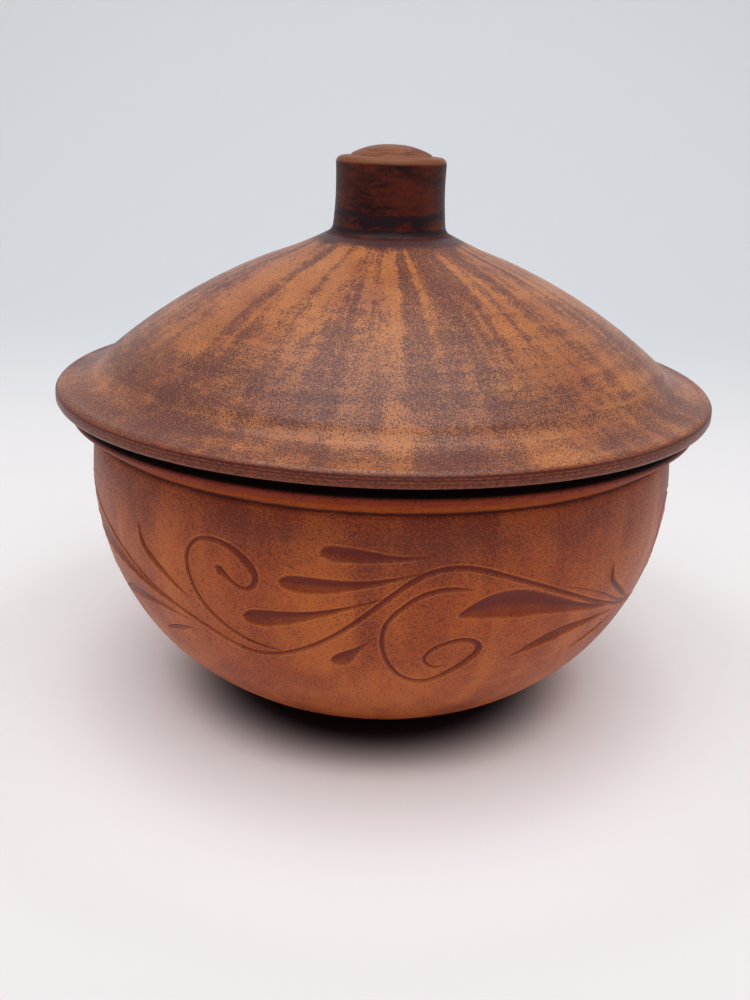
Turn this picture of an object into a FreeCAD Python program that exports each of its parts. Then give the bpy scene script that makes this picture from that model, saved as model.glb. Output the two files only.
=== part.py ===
import FreeCAD, Part
import os
import math
import Sketcher

# A lidded clay cocotte, thrown on the wheel: a round-bellied pot with a carved vine, and a domed lid.
# Millimetres, +Z up. The origin is the middle of the pot's foot, where it stands. The front faces -Y.

doc = FreeCAD.newDocument("ClayCocotte")
sizes = doc.addObject("Spreadsheet::Sheet", "Sizes")

DRIVING_SIZES = [
    ("pot_height", 111.0),
    ("mouth_diameter", 200.4),
    ("lip_width", 10.2),
    ("lip_drop", 5.1),
    ("lip_edge_inset", 1.2),
    ("lip_edge_drop", 3.4),
    ("seat_width", 3.2),
    ("lip_ease", 1.25),
    ("flare_radius", 40.0),
    ("lip_band", 11.6),
    ("neck_step", 2.5),
    ("groove_depth", 0.8),
    ("groove_width", 1.8),
    ("belly_swell", 1.2),
    ("belly_drop", 15.0),
    ("side_radius", 90.4),
    ("flank_share_across", 0.8835),
    ("flank_share_up", 0.4645),
    ("flank_slope", 30.0),
    ("flank_radius", 78.7),
    ("base_share_across", 0.581),
    ("base_share_up", 0.1055),
    ("base_slope", 62.0),
    ("base_radius", 103.4),
    ("foot_diameter", 74.4),
    ("foot_ring_width", 9.0),
    ("foot_hollow", 1.8),
    ("wall", 6.5),
    ("throat_drop", 3.4),
    ("floor_height", 9.5),
    ("floor_curve", 12.3),
    ("brim_overhang", 4.6),
    ("brim_thickness", 5.2),
    ("brim_width", 12.5),
    ("brim_rise", 3.0),
    ("brim_hollow_radius", 34.0),
    ("bead_width", 3.4),
    ("bead_drop", 1.9),
    ("bead_inset", 0.9),
    ("edge_chamfer", 1.1),
    ("cove_width", 4.7),
    ("cove_radius", 9.0),
    ("dome_foot_height", 7.4),
    ("dome_radius", 200.0),
    ("dome_rise", 33.8),
    ("turn_share", 0.4294),
    ("crown_radius", 189.0),
    ("crown_rise", 8.6),
    ("lid_wall", 6.0),
    ("crown_hollow", 7.0),
    ("fit_clearance", 1.7),
    ("flange_depth", 9.0),
    ("flange_thickness", 5.6),
    ("flange_taper", 2.4),
    ("flange_chamfer", 0.9),
    ("knob_diameter", 37.0),
    ("knob_tall", 23.5),
    ("knob_taper", 0.5),
    ("knob_side_radius", 110.0),
    ("knob_foot_flare", 5.0),
    ("knob_foot_rise", 5.7),
    ("knob_foot_radius", 6.5),
    ("shoulder_width", 3.0),
    ("shoulder_turn", 0.9),
    ("shelf_width", 5.0),
    ("shelf_drop", 0.5),
    ("cap_height", 3.4),
    ("drawing_low", 39.2),
    ("drawing_high", 99.4),
    ("cut_steepness", 0.62),
    ("cut_softening", 0.22),
    ("cut_overshoot", 0.6),
    ("finest_cut", 0.3),
    ("broad_cut", 4.0),
]

# Places on the outlines, worked out from the driving sizes. Angles are in degrees.
WORKED_OUT = [
    ("mouth_x", "mouth_diameter / 2"),
    ("lip_x", "mouth_x + lip_width"),
    ("lip_height", "pot_height - lip_drop"),
    ("lip_edge_x", "lip_x - lip_edge_inset"),
    ("lip_edge_z", "pot_height - lip_edge_drop"),
    ("lip_top_in", "mouth_x + lip_ease"),
    ("lip_top_out", "lip_top_in + seat_width"),
    ("mouth_z", "pot_height - lip_ease"),
    ("neck_x", "mouth_x + neck_step"),
    ("neck_height", "pot_height - lip_band"),
    ("groove_x", "neck_x - groove_depth"),
    ("groove_low", "neck_height - groove_width / 2"),
    ("groove_high", "neck_height + groove_width / 2"),
    ("belly_x", "neck_x + belly_swell"),
    ("belly_height", "neck_height - belly_drop"),
    ("flank_x", "belly_x * flank_share_across"),
    ("flank_z", "belly_height * flank_share_up"),
    ("base_x", "belly_x * base_share_across"),
    ("base_z", "belly_height * base_share_up"),
    ("foot_out", "foot_diameter / 2"),
    ("foot_in", "foot_out - foot_ring_width"),
    ("hollow_out", "foot_in - foot_hollow"),
    ("throat_x", "neck_x - wall"),
    ("throat_height", "neck_height - throat_drop"),
    ("side_inner_radius", "side_radius - wall"),
    ("flank_in_x", "flank_x - wall * cos(flank_slope)"),
    ("flank_in_z", "flank_z + wall * sin(flank_slope)"),
    ("flank_inner_radius", "flank_radius - wall"),
    ("base_in_x", "base_x - wall * cos(base_slope)"),
    ("base_in_z", "base_z + wall * sin(base_slope)"),
    ("base_inner_radius", "base_radius - wall"),
    ("floor_x", "base_in_x - floor_curve"),
    ("lid_x", "lip_x + brim_overhang"),
    ("brim_z", "pot_height + brim_thickness"),
    ("bead_x", "lid_x - bead_width"),
    ("bead_z", "brim_z - bead_drop"),
    ("bead_top_x", "lid_x - bead_inset"),
    ("bead_top_z", "brim_z - bead_drop / 3"),
    ("edge_z", "pot_height + edge_chamfer"),
    ("edge_in", "lid_x - edge_chamfer"),
    ("brim_in_x", "lid_x - brim_width"),
    ("brim_in_z", "brim_z + brim_rise"),
    ("dome_x", "brim_in_x - cove_width"),
    ("dome_z", "brim_z + dome_foot_height"),
    ("turn_x", "dome_x * turn_share"),
    ("turn_z", "dome_z + dome_rise"),
    ("dome_in_z", "dome_z - lid_wall * 0.72"),
    ("dome_inner_radius", "dome_radius - lid_wall"),
    ("turn_in_x", "turn_x - lid_wall * 0.36"),
    ("turn_in_z", "turn_z - lid_wall * 0.93"),
    ("crown_z", "turn_in_z + crown_hollow"),
    ("knob_x", "knob_diameter / 2"),
    ("knob_foot_x", "knob_x + knob_foot_flare"),
    ("knob_foot_z", "turn_z + crown_rise"),
    ("side_foot_x", "knob_x + knob_taper"),
    ("side_foot_z", "knob_foot_z + knob_foot_rise"),
    ("cap_top", "side_foot_z + knob_tall"),
    ("cap_z", "cap_top - cap_height"),
    ("cap_x", "knob_x - shelf_width"),
    ("shelf_z", "cap_z - shelf_drop"),
    ("shoulder_x", "knob_x - shoulder_width"),
    ("shoulder_z", "shelf_z - shoulder_width"),
    ("shoulder_turn_x", "knob_x - shoulder_turn"),
    ("shoulder_turn_z", "shelf_z - shoulder_turn"),
    ("flange_x", "mouth_x - fit_clearance"),
    ("flange_tip_x", "flange_x - flange_taper"),
    ("flange_z", "pot_height - flange_depth"),
    ("flange_in_x", "flange_x - flange_thickness"),
    ("flange_edge_z", "flange_z + flange_chamfer"),
    ("flange_edge_in", "flange_in_x + flange_chamfer"),
    ("flange_edge_out", "flange_tip_x - flange_chamfer"),
]

# The carving repeats round the belly: each repeat of the vine starts at one of these turns, in degrees
# from the front, to the right. A cut is a line of places: turn, height as drawn, width of the gouge.
VINE_TURNS = [-88.7, -0.7, 99.3, 185.3]

VINE = [
    (-22, 48.5, 1.8), (-14, 51.5, 1.8), (-5, 61.5, 1.9), (3, 74.5, 2.0), (9, 82.0, 2.0),
    (14, 83.4, 2.0), (22, 79.5, 1.9), (33, 71.2, 1.8), (46, 60.5, 1.8), (58, 53.0, 1.8),
]

LEFT_SCROLL = [
    (-14.6, 51, 0.5), (-21, 52.3, 1.6), (-27, 57, 1.8), (-31, 64, 1.8), (-33, 73, 1.7),
    (-32.8, 79.5, 1.6), (-30.6, 84.5, 1.6), (-27.5, 86, 1.8), (-23.7, 84.4, 2.4), (-20.6, 80.4, 3.0),
    (-19.4, 75.9, 2.6), (-20.5, 72.6, 1.8), (-22.6, 72.3, 1.5), (-24.8, 74.7, 1.6), (-26, 76.6, 2.6),
]

RIGHT_SCROLL = [
    (16.6, 76.1, 0.5), (12.9, 76.7, 1.8), (8.3, 75, 1.8), (4.7, 70.3, 1.8), (2.3, 64.2, 1.8),
    (1.9, 57.8, 1.8), (3, 50.5, 1.8), (6.1, 43.7, 1.9), (10.3, 41.8, 2.2), (14.5, 45.3, 2.6),
    (18.1, 50.6, 3.0), (19.2, 54.6, 2.8), (17.6, 57.6, 2.2), (14.1, 58, 1.8), (10.8, 55.4, 1.8),
    (9.5, 51.2, 1.7), (11, 48.2, 1.5), (13.8, 48.6, 0.8),
]

TOP_DROP = [(-7.3, 87.4, 3.4), (-5.5, 87.2, 5.2), (-2, 87, 3.8), (4, 86.5, 1.8), (10, 87.5, 0.5)]
UPPER_DROP = [(-14.2, 76.6, 4.2), (-11.5, 76.6, 5.9), (-6, 77, 4.4), (1, 79, 2.4), (8, 82.3, 0.5)]
MIDDLE_DROP = [(-21.4, 62.3, 4.4), (-18.5, 62.8, 6.0), (-10, 66.3, 3.4), (1.5, 73.6, 0.6)]
SMALL_DROP = [(-6.1, 49.6, 3.6), (-4.8, 51.2, 4.6), (-1.5, 56.4, 1.8), (0, 59, 0.6)]
BROAD_LEAF = [
    (14.8, 67.5, 2.2), (18, 69.2, 6.5), (23, 69.8, 10.4), (30, 67.6, 7.5), (40, 62.2, 3.0), (50.7, 57.2, 0.6),
]
LOWER_LEAF = [(26.6, 49.2, 0.8), (33.5, 53, 5.0), (42, 54.8, 3.2), (52, 54, 0.6)]
LAST_DROP = [(42.6, 44, 0.6), (47, 47, 2.6), (53, 50.5, 0.6)]
SLIM_LEAF = [(-45.5, 82.9, 0.8), (-44.6, 76.3, 2.8), (-41.4, 71.5, 3.0), (-36.9, 66.2, 1.8), (-33.7, 63.3, 0.6)]
SECOND_LINE = [(35, 71.7, 0.5), (44.2, 65.3, 1.2), (58.1, 54.3, 1.2), (62.6, 53.4, 0.5)]

# Name, line, the turns it stands at, how far each is lifted, and the length of its facets.
CUTS = [
    ("left_scroll", LEFT_SCROLL, VINE_TURNS, [0, 0, 0, 0], 4.0),
    ("right_scroll", RIGHT_SCROLL, VINE_TURNS, [0, 0, 0, 0], 4.0),
    ("top_drop", TOP_DROP, VINE_TURNS, [0, 0, 0, 0], 6.0),
    ("upper_drop", UPPER_DROP, VINE_TURNS, [0, 0, 0, 0], 6.0),
    ("middle_drop", MIDDLE_DROP, VINE_TURNS, [0, 0, 0, 0], 6.0),
    ("small_drop", SMALL_DROP, VINE_TURNS, [0, 0, 0, 0], 4.0),
    ("broad_leaf", BROAD_LEAF, VINE_TURNS, [0, 0, 0, 0], 6.0),
    ("lower_leaf", LOWER_LEAF, VINE_TURNS, [0, 0, 0, 0], 6.0),
    ("last_drop", LAST_DROP, VINE_TURNS, [0, 0, 0, 0], 6.0),
    ("slim_leaf", SLIM_LEAF, [-0.7, 91.3, 185.3, 271.3], [0, -8, 0, 0], 6.0),
    ("second_line", SECOND_LINE, [-0.7], [0], 7.0),
]

VINE_FACET = 7.0

LEFT = 1
RIGHT = -1
ON_AXIS = "on axis"


def fill_sheet():
    for row, (name, value) in enumerate(DRIVING_SIZES, start=1):
        sizes.set("A%d" % row, name)
        sizes.set("B%d" % row, "%g" % value)
        sizes.setAlias("B%d" % row, name)
    for row, (name, formula) in enumerate(WORKED_OUT, start=1):
        sizes.set("D%d" % row, name)
        sizes.setAlias("E%d" % row, name)
    for row, (name, formula) in enumerate(WORKED_OUT, start=1):
        sizes.set("E%d" % row, "=" + formula)
    doc.recompute()


def size(name):
    return float(sizes.get(name))


# Radius of the arc through both points whose middle lies on the upright axis.
def axis_radius(start, end):
    rise = abs(end.y - start.y)
    reach = max(start.x, end.x)
    return (reach ** 2 + rise ** 2) / (2 * rise)


# The short arc from start to end; turn +1 keeps its middle on the left, -1 on the right.
def arc_between(start, end, radius, turn):
    chord = end - start
    reach = max(radius, chord.Length / 2 * 1.0001)
    lift = math.sqrt(reach ** 2 - (chord.Length / 2) ** 2)
    left = FreeCAD.Vector(-chord.y, chord.x, 0).normalize()
    middle = (start + end) * 0.5 + left * lift * turn
    first = math.atan2(start.y - middle.y, start.x - middle.x)
    last = math.atan2(end.y - middle.y, end.x - middle.x)
    circle = Part.Circle(middle, FreeCAD.Vector(0, 0, 1), reach)
    if turn > 0:
        return Part.ArcOfCircle(circle, first, last), 1, 2
    return Part.ArcOfCircle(circle, last, first), 2, 1


# A closed outline. A corner is a pair of sheet names, None being the axis or the ground.
# A step is None for a straight side, or the sheet name of a radius and which way it bends,
# ON_AXIS standing for an arc about a point of the axis.
def draw_outline(sketch, corners, steps):
    places = []
    for across, up in corners:
        places.append(FreeCAD.Vector(size(across) if across else 0, size(up) if up else 0, 0))
    ends = []
    for number, step in enumerate(steps):
        start = places[number]
        end = places[(number + 1) % len(places)]
        if step is None:
            shape = Part.LineSegment(start, end)
            first, last = 1, 2
        else:
            radius = axis_radius(start, end) if step[0] == ON_AXIS else size(step[0])
            shape, first, last = arc_between(start, end, radius, step[1])
        ends.append((sketch.addGeometry(shape, False), first, last))
    for number, (index, first, last) in enumerate(ends):
        following = ends[(number + 1) % len(ends)]
        sketch.addConstraint(Sketcher.Constraint("Coincident", index, last, following[0], following[1]))
    for (index, first, last), (across, up), place in zip(ends, corners, places):
        hold_point(sketch, index, first, "DistanceX", across, place.x, -2)
        hold_point(sketch, index, first, "DistanceY", up, place.y, -1)
    for (index, first, last), step in zip(ends, steps):
        if step is not None and step[0] == ON_AXIS:
            sketch.addConstraint(Sketcher.Constraint("PointOnObject", index, 3, -2))
        elif step is not None:
            bind_constraint(sketch, Sketcher.Constraint("Radius", index, size(step[0])), step[0])


def hold_point(sketch, index, end, direction, name, value, axis):
    if name is None:
        sketch.addConstraint(Sketcher.Constraint("PointOnObject", index, end, axis))
    else:
        bind_constraint(sketch, Sketcher.Constraint(direction, -1, 1, index, end, value), name)


def bind_constraint(sketch, constraint, name):
    number = sketch.addConstraint(constraint)
    sketch.setExpression("Constraints[%d]" % number, "Sizes." + name)


# A body turned on the wheel: its half section swept once round the upright axis.
def turned_body(label, corners, steps):
    body = doc.addObject("PartDesign::Body", label)
    body.Label = label
    sketch = body.newObject("Sketcher::SketchObject", label + "_section")
    plane = [item for item in body.Origin.OriginFeatures if item.Role == "XZ_Plane"][0]
    sketch.AttachmentSupport = [(plane, "")]
    sketch.MapMode = "FlatFace"
    doc.recompute()
    draw_outline(sketch, corners, steps)
    doc.recompute()
    turn = body.newObject("PartDesign::Revolution", label + "_turned")
    turn.Profile = sketch
    turn.ReferenceAxis = (sketch, ["V_Axis"])
    turn.Angle = 360
    body.Tip = turn
    doc.recompute()
    return body


# The bowl as it leaves the wheel: pressed-in foot, round belly, scored waist, flared lip.
def make_bowl():
    corners = [
        (None, "foot_hollow"),
        ("hollow_out", "foot_hollow"),
        ("foot_in", None),
        ("foot_out", None),
        ("base_x", "base_z"),
        ("flank_x", "flank_z"),
        ("neck_x", "groove_low"),
        ("groove_x", "neck_height"),
        ("neck_x", "groove_high"),
        ("lip_x", "lip_height"),
        ("lip_edge_x", "lip_edge_z"),
        ("lip_top_out", "pot_height"),
        ("lip_top_in", "pot_height"),
        ("mouth_x", "mouth_z"),
        ("throat_x", "throat_height"),
        ("flank_in_x", "flank_in_z"),
        ("base_in_x", "base_in_z"),
        ("floor_x", "floor_height"),
        (None, "floor_height"),
    ]
    steps = [
        None,
        None,
        None,
        ("base_radius", LEFT),
        ("flank_radius", LEFT),
        ("side_radius", LEFT),
        None,
        None,
        ("flare_radius", LEFT),
        None,
        None,
        None,
        None,
        None,
        ("side_inner_radius", RIGHT),
        ("flank_inner_radius", RIGHT),
        ("base_inner_radius", RIGHT),
        None,
        None,
    ]
    return turned_body("bowl", corners, steps)


# The lid in one piece: knob, dome, brim with its bead, and the ring that finds the mouth.
def make_lid():
    corners = [
        (None, "cap_top"),
        (None, "crown_z"),
        ("turn_in_x", "turn_in_z"),
        ("flange_in_x", "dome_in_z"),
        ("flange_in_x", "flange_edge_z"),
        ("flange_edge_in", "flange_z"),
        ("flange_edge_out", "flange_z"),
        ("flange_tip_x", "flange_edge_z"),
        ("flange_x", "pot_height"),
        ("edge_in", "pot_height"),
        ("lid_x", "edge_z"),
        ("lid_x", "bead_z"),
        ("bead_top_x", "bead_top_z"),
        ("bead_x", "brim_z"),
        ("brim_in_x", "brim_in_z"),
        ("dome_x", "dome_z"),
        ("turn_x", "turn_z"),
        ("knob_foot_x", "knob_foot_z"),
        ("side_foot_x", "side_foot_z"),
        ("knob_x", "shoulder_z"),
        ("shoulder_turn_x", "shoulder_turn_z"),
        ("shoulder_x", "shelf_z"),
        ("cap_x", "cap_z"),
    ]
    steps = [
        None,
        (ON_AXIS, RIGHT),
        ("dome_inner_radius", RIGHT),
        None,
        None,
        None,
        None,
        None,
        None,
        None,
        None,
        None,
        None,
        ("brim_hollow_radius", RIGHT),
        ("cove_radius", RIGHT),
        ("dome_radius", LEFT),
        ("crown_radius", RIGHT),
        ("knob_foot_radius", RIGHT),
        ("knob_side_radius", RIGHT),
        None,
        None,
        None,
        (ON_AXIS, LEFT),
    ]
    return turned_body("lid", corners, steps)


# The belly's outer arc, in the plane of the half section.
def belly_arc():
    start = FreeCAD.Vector(size("flank_x"), size("flank_z"), 0)
    end = FreeCAD.Vector(size("neck_x"), size("groove_low"), 0)
    return arc_between(start, end, size("side_radius"), LEFT)[0]


# The place on the belly at a turn from the front and a height of the drawing, and its outward normal.
def on_belly(arc, turn, drawn):
    share = (drawn - size("drawing_low")) / (size("drawing_high") - size("drawing_low"))
    height = size("flank_z") + share * (size("neck_height") - size("flank_z"))
    rise = height - arc.Center.y
    reach = math.sqrt(arc.Radius ** 2 - rise ** 2)
    round_x = math.sin(math.radians(turn))
    round_y = -math.cos(math.radians(turn))
    across = arc.Center.x + reach
    place = FreeCAD.Vector(across * round_x, across * round_y, height)
    normal = FreeCAD.Vector(reach * round_x, reach * round_y, rise).normalize()
    return place, normal


# The gouge's cross sections along a smooth line through the drawn places, from start to end.
def gouge_sections(arc, points, facet, start=0, end=None):
    per_degree = math.radians(1) * size("belly_x")
    line = Part.BSplineCurve()
    line.interpolate([FreeCAD.Vector(turn * per_degree, drawn, width) for turn, drawn, width in points])
    first = nearest_length(line, points[start], per_degree)
    last = line.length() if end is None else nearest_length(line, points[end], per_degree)
    count = max(4, round((last - first) / facet))
    broad = max(width for turn, drawn, width in points) > size("broad_cut")
    sections = []
    for number in range(count + 1):
        spot = line.parameterAtDistance(first + (last - first) * number / count)
        sections.append(gouge_section(arc, line.value(spot), line.tangent(spot)[0], per_degree, broad))
    return sections


def nearest_length(line, point, per_degree):
    turn, drawn, width = point
    spot = line.parameter(FreeCAD.Vector(turn * per_degree, drawn, width))
    return line.length(line.FirstParameter, spot) if spot > line.FirstParameter else 0.0


def gouge_section(arc, drawn, direction, per_degree, broad):
    half = max(drawn.z, size("finest_cut")) / 2
    depth = size("cut_steepness") * half / (1 + size("cut_softening") * half)
    place, normal = on_belly(arc, drawn.x / per_degree, drawn.y)
    ahead = on_belly(arc, (drawn.x + direction.x / 100) / per_degree, drawn.y + direction.y / 100)[0]
    sideways = (ahead - place).normalize().cross(normal).normalize()
    inner = [(0, -depth)]
    if broad:
        inner = [(-0.6 * half, -0.75 * depth), (0, -depth), (0.6 * half, -0.75 * depth)]
    slope = (0 - inner[0][1]) / (inner[0][0] + half)
    lift = size("cut_overshoot")
    outer = half + lift / slope
    profile = [(-outer, lift)] + inner + [(outer, lift)]
    corners = [place + sideways * across + normal * up for across, up in profile]
    return Part.makePolygon(corners + [corners[0]])


def add_cut(name, sections):
    cut = doc.addObject("Part::Feature", name)
    cut.Shape = Part.makeLoft(sections, True, True)
    return cut


# The vine runs once round the belly through every repeat, as one closed wavy line.
def vine_cuts(arc):
    points = []
    repeats = [VINE_TURNS[-1] - 360] + VINE_TURNS + [VINE_TURNS[0] + 360]
    for turn in repeats:
        points += [(turn + place, drawn, width) for place, drawn, width in VINE]
    cuts = []
    joint = None
    opening = None
    for number in range(len(VINE_TURNS)):
        start = (number + 1) * len(VINE)
        sections = gouge_sections(arc, points, VINE_FACET, start, start + len(VINE))
        opening = opening or sections[0]
        if joint is not None:
            sections[0] = joint
        joint = sections[-1]
        if number == len(VINE_TURNS) - 1:
            sections[-1] = opening
        cuts.append(add_cut("vine_%d" % (number + 1), sections))
    return cuts


def fuse(name, shapes):
    fused = doc.addObject("Part::MultiFuse", name)
    fused.Shapes = shapes
    fused.Refine = False
    return fused


# Each repeat of the carving is fused by itself, then all of them are cut out of the bowl at once.
def make_pot(bowl):
    arc = belly_arc()
    repeats = [[vine] for vine in vine_cuts(arc)]
    for name, line, turns, lifts, facet in CUTS:
        for number, (turn, lift) in enumerate(zip(turns, lifts)):
            points = [(turn + place, drawn + lift, width) for place, drawn, width in line]
            sections = gouge_sections(arc, points, facet)
            repeats[number].append(add_cut("%s_%d" % (name, number + 1), sections))
    repeats = [fuse("carving_%d" % number, cuts) for number, cuts in enumerate(repeats, start=1)]
    pot = doc.addObject("Part::Cut", "pot")
    pot.Label = "pot"
    pot.Base = bowl
    pot.Tool = fuse("carving", repeats)
    pot.Refine = False
    doc.recompute()
    return pot


def check_document():
    for item in doc.Objects:
        if "Invalid" in item.State or "Error" in item.State:
            raise RuntimeError(item.Name + " failed to compute")


def write_part(body):
    shape = body.Shape
    if shape.isNull() or not shape.isValid():
        raise RuntimeError(body.Label + " has no valid shape")
    shape.exportStep(os.path.join("parts", body.Label + ".step"))
    print(body.Label, "volume %.1f cm3" % (shape.Volume / 1000), "box", shape.BoundBox)


fill_sheet()
bodies = [make_pot(make_bowl()), make_lid()]
doc.recompute()
check_document()
os.makedirs("parts", exist_ok=True)
for body in bodies:
    write_part(body)
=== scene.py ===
import math

import bmesh
import bpy
import numpy as np
from mathutils import Matrix, Vector
from mathutils.geometry import delaunay_2d_cdt


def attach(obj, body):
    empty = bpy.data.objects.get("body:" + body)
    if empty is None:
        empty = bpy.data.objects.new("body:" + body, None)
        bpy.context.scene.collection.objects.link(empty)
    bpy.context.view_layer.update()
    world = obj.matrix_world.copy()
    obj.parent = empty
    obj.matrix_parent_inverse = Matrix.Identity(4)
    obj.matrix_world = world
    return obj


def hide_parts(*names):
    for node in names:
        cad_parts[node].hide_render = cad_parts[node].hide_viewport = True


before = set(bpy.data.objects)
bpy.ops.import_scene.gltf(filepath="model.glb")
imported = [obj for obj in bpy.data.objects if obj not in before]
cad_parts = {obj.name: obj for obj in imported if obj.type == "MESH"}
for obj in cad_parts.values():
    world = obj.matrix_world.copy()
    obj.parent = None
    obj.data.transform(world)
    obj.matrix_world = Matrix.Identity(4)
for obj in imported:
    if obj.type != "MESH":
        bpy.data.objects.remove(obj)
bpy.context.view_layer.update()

millimetre = 0.001
noiseMiddle = 0.5  # a noise texture's mean value


# Node helpers. An input is a number, a colour or another node's socket.
def putNode(tree, kind, inputs=None, **settings):
    node = tree.nodes.new(kind)
    for name, value in settings.items():
        setattr(node, name, value)
    for name, value in (inputs or {}).items():
        if isinstance(value, bpy.types.NodeSocket):
            tree.links.new(value, node.inputs[name])
        else:
            node.inputs[name].default_value = value
    return node


def doMath(tree, operation, first, second=None, clamp=False):
    inputs = {0: first} if second is None else {0: first, 1: second}
    return putNode(tree, "ShaderNodeMath", inputs, operation=operation, use_clamp=clamp).outputs[0]


def times(tree, first, second):
    return doMath(tree, "MULTIPLY", first, second)


def minus(tree, first, second):
    return doMath(tree, "SUBTRACT", first, second)


# Adds amount times value, so that a pattern's parts can be summed one by one.
def plus(tree, total, value, amount, clamp=False):
    return doMath(tree, "ADD", total, times(tree, value, amount), clamp)


def doVector(tree, operation, first, second=None):
    inputs = {0: first} if second is None else {0: first, 1: second}
    return putNode(tree, "ShaderNodeVectorMath", inputs, operation=operation).outputs[0]


def scaled(tree, vector, amount):
    return putNode(tree, "ShaderNodeVectorMath", {0: vector, "Scale": amount}, operation="SCALE").outputs[0]


def lengthOf(tree, vector):
    return putNode(tree, "ShaderNodeVectorMath", {0: vector}, operation="LENGTH").outputs["Value"]


def joinAxes(tree, x, y, z):
    return putNode(tree, "ShaderNodeCombineXYZ", {0: x, 1: y, 2: z}).outputs[0]


def splitAxes(tree, vector):
    return putNode(tree, "ShaderNodeSeparateXYZ", {0: vector}).outputs


def spread(tree, value, low, high, toLow=0.0, toHigh=1.0, smooth=True):
    inputs = {"Value": value, "From Min": low, "From Max": high, "To Min": toLow, "To Max": toHigh}
    kind = "SMOOTHSTEP" if smooth else "LINEAR"
    return putNode(tree, "ShaderNodeMapRange", inputs, interpolation_type=kind).outputs[0]


def noise(tree, place, scale, detail=3.0, rough=0.5, distortion=0.0):
    inputs = {"Vector": place, "Scale": scale, "Detail": detail, "Roughness": rough, "Distortion": distortion}
    return putNode(tree, "ShaderNodeTexNoise", inputs).outputs["Fac"]


# Noise with its own scale along each axis.
def stretchedNoise(tree, place, scales, detail, rough, distortion=0.0):
    return noise(tree, doVector(tree, "MULTIPLY", place, scales), 1.0, detail, rough, distortion)


def mixColours(tree, amount, first, second):
    return putNode(tree, "ShaderNodeMix", {0: amount, 6: first, 7: second}, data_type="RGBA").outputs[2]


def colour(red, green, blue):
    return (red, green, blue, 1.0)


def attribute(tree, name):
    return putNode(tree, "ShaderNodeAttribute", attribute_name=name).outputs["Fac"]


def newGroup(name, inputs, outputs):
    group = bpy.data.node_groups.new(name, "ShaderNodeTree")
    for socketName, kind, value in inputs:
        socket = group.interface.new_socket(socketName, in_out="INPUT", socket_type="NodeSocket" + kind)
        if value is not None:
            socket.default_value = value
    for socketName, kind in outputs:
        group.interface.new_socket(socketName, in_out="OUTPUT", socket_type="NodeSocket" + kind)
    return group, group.nodes.new("NodeGroupInput").outputs, group.nodes.new("NodeGroupOutput").inputs


def useGroup(tree, group, inputs):
    return putNode(tree, "ShaderNodeGroup", inputs, node_tree=group).outputs


# An outline is a start and steps of (end, radius, side): side 1 bends round a middle on the left.
def arcPoints(start, end, radius, side, spacing):
    (x0, z0), (x1, z1) = start, end
    chord = math.dist(start, end)
    radius = max(radius, chord / 2 * 1.0001)  # an arc is never tighter than a half circle
    lift = math.sqrt(radius ** 2 - (chord / 2) ** 2) * side
    middleX = (x0 + x1) / 2 - (z1 - z0) / chord * lift
    middleZ = (z0 + z1) / 2 + (x1 - x0) / chord * lift
    first = math.atan2(z0 - middleZ, x0 - middleX)
    turn = (math.atan2(z1 - middleZ, x1 - middleX) - first + math.pi) % (2 * math.pi) - math.pi
    count = max(2, math.ceil(abs(turn) * radius / spacing))
    angles = [first + turn * i / count for i in range(1, count + 1)]
    return [(middleX + radius * math.cos(a), middleZ + radius * math.sin(a)) for a in angles]


def linePoints(start, end, spacing):
    count = max(1, math.ceil(math.dist(start, end) / spacing))
    return [tuple(a + (b - a) * i / count for a, b in zip(start, end)) for i in range(1, count + 1)]


def tracePath(start, steps, spacing):
    points = [start]
    for end, radius, side in steps:
        if radius:
            points += arcPoints(points[-1], end, radius, side, spacing)
        else:
            points += linePoints(points[-1], end, spacing)
    return points


def addObject(name, data):
    made = bpy.data.objects.new(name, data)
    bpy.context.scene.collection.objects.link(made)
    return made


# The pot, in millimetres. The carved band of the belly is its own close mesh between bandLow and bandHigh.
potForm = {
    "segments": 216,
    "footStart": (0.0, 1.8),
    "foot": [
        ((27.0, 1.8), None, 0), ((28.0, 0.3), None, 0), ((28.8, 0.0), None, 0), ((36.4, 0.0), None, 0),
        ((37.6, 0.4), None, 0),
    ],
    "belly": [((60.4, 8.9), 103.4, 1), ((91.8, 39.2), 78.7, 1), ((102.7, 98.5), 90.4, 1)],
    "lip": [
        ((102.2, 99.0), None, 0), ((101.9, 99.4), None, 0), ((102.2, 99.9), None, 0),
        ((102.8, 100.4), None, 0), ((110.2, 105.6), 40.0, 1), ((109.4, 107.4), 1.3, 1),
        ((104.6, 111.0), None, 0), ((101.6, 111.0), None, 0), ((100.2, 109.6), 1.6, 1),
    ],
    "inside": [
        ((96.2, 96.0), None, 0), ((86.2, 42.5), 83.9, -1), ((57.3, 14.6), 72.2, -1),
        ((45.0, 9.5), 96.9, -1), ((0.0, 9.5), None, 0),
    ],
    "bandLow": 34.0,
    "bandHigh": 94.5,
    "bandRadius": 103.9,  # the radius at which the flat drawing of the band has its true width
    "spacing": 2.6,
    "lipSpacing": 0.8,
    "insideSpacing": 4.0,
    "rowsAboveBand": 5,
    "middleHeight": 84.4,  # the middle and the radius of the belly's upper arc
    "middleRadius": 90.4,
    "weld": 0.01,
    "seamWeld": 0.06,
}

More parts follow.
